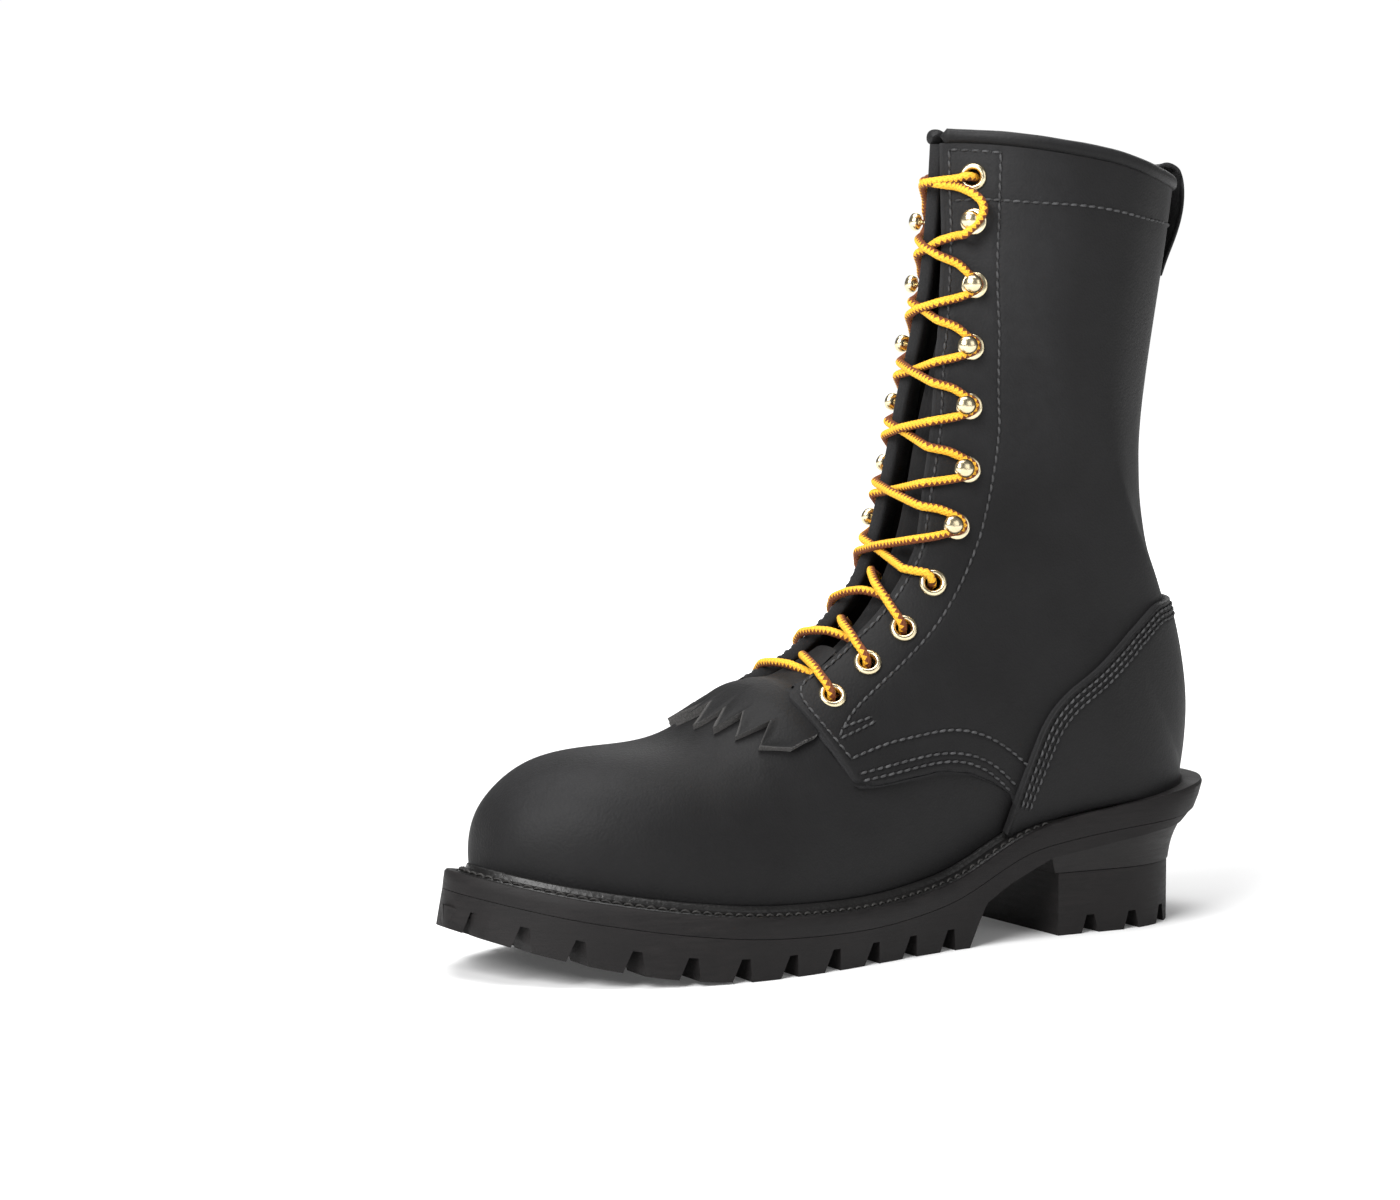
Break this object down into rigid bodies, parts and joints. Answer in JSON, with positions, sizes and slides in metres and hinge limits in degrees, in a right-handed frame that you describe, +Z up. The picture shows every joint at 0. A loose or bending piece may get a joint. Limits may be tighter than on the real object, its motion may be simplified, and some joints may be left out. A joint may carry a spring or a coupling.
{
  "type": "wildland fire boot",
  "caption": "Tall black leather lace-up work boot with a lugged rubber sole, raised logger heel, outside heel counter, fringed kiltie, brass eyelets and hooks and a yellow lace.",
  "frame": {"origin": "on the floor, under the middle of the boot's bounding box", "axes": "+X towards the toe, +Y to the boot's outer (lateral) side, +Z up"},
  "size_m": [0.317, 0.1128, 0.3024],
  "materials": {
    "leather": "matte oiled black leather with a worn sheen",
    "welt_leather": "dressed black welt edge",
    "insole_board": "bare tan board",
    "sole_rubber": "matte black rubber",
    "brass": "pale plated brass, bright",
    "lace": "round braided lace, yellow with brown"
  },
  "bodies": {
    "root": {"upper": "leather", "counter": "leather", "backstay": "leather", "collar_binding": "leather", "pull_loop": "leather", "tongue": "leather", "kiltie": "leather", "welt": "welt_leather", "insole": "insole_board", "midsole": "sole_rubber", "outsole": "sole_rubber", "heel_stack": "sole_rubber", "heel_toplift": "sole_rubber", "eyelet_lateral_1": "brass", "eyelet_lateral_2": "brass", "eyelet_lateral_3": "brass", "eyelet_lateral_4": "brass", "eyelet_lateral_5": "brass", "eyelet_medial_1": "brass", "eyelet_medial_2": "brass", "eyelet_medial_3": "brass", "eyelet_medial_4": "brass", "eyelet_medial_5": "brass", "hook_lateral_1": "brass", "hook_lateral_2": "brass", "hook_lateral_3": "brass", "hook_lateral_4": "brass", "hook_lateral_5": "brass", "hook_lateral_6": "brass", "hook_medial_1": "brass", "hook_medial_2": "brass", "hook_medial_3": "brass", "hook_medial_4": "brass", "hook_medial_5": "brass", "hook_medial_6": "brass", "lace_bar": "lace", "lace_cross_1_a": "lace", "lace_cross_1_b": "lace", "lace_cross_2_a": "lace", "lace_cross_2_b": "lace", "lace_cross_3_a": "lace", "lace_cross_3_b": "lace", "lace_upper_a": "lace", "lace_upper_b": "lace"}
  },
  "joints": []
}
